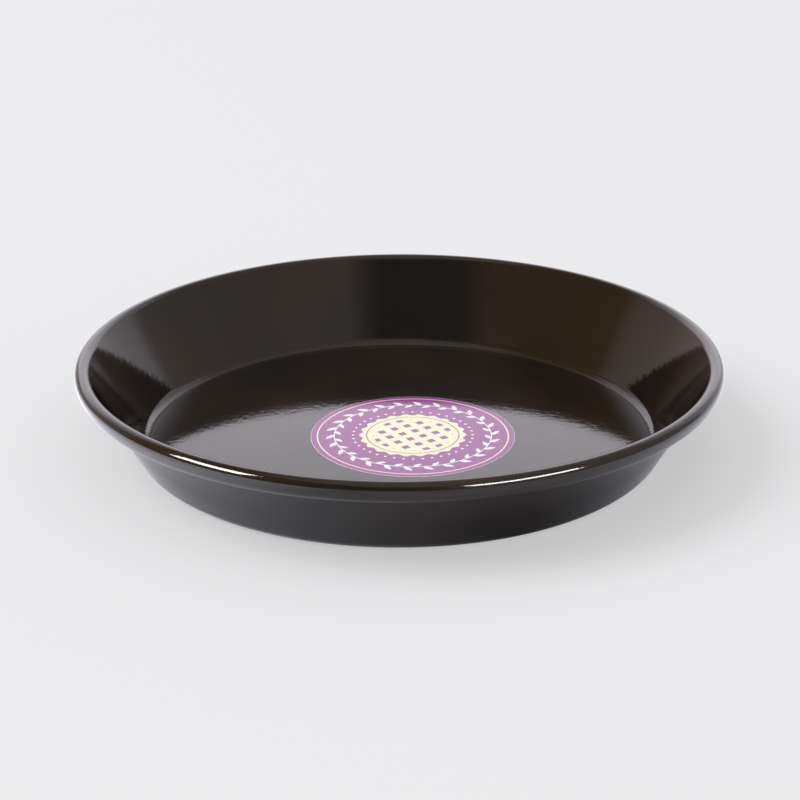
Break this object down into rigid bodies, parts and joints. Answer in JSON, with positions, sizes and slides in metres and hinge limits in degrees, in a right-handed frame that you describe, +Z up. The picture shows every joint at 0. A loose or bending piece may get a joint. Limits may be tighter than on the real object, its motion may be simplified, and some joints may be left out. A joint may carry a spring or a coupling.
{
  "type": "pie dish",
  "caption": "Round enamelled steel pie dish with a flat base, a leaning wall, a rolled rim and a round film label on its floor.",
  "frame": {"origin": "middle of the underside, on the surface that the dish stands on", "axes": "+Z up along the axis of the dish, +X to the right and -Y to the front as the label is read"},
  "size_m": [0.28, 0.28, 0.04],
  "materials": {
    "bare_steel": "satin",
    "enamel": "gloss",
    "label_film": "gloss"
  },
  "bodies": {
    "root": {"steel_pressing": "bare_steel", "enamel_coat": "enamel", "film_label": "label_film"}
  },
  "joints": []
}
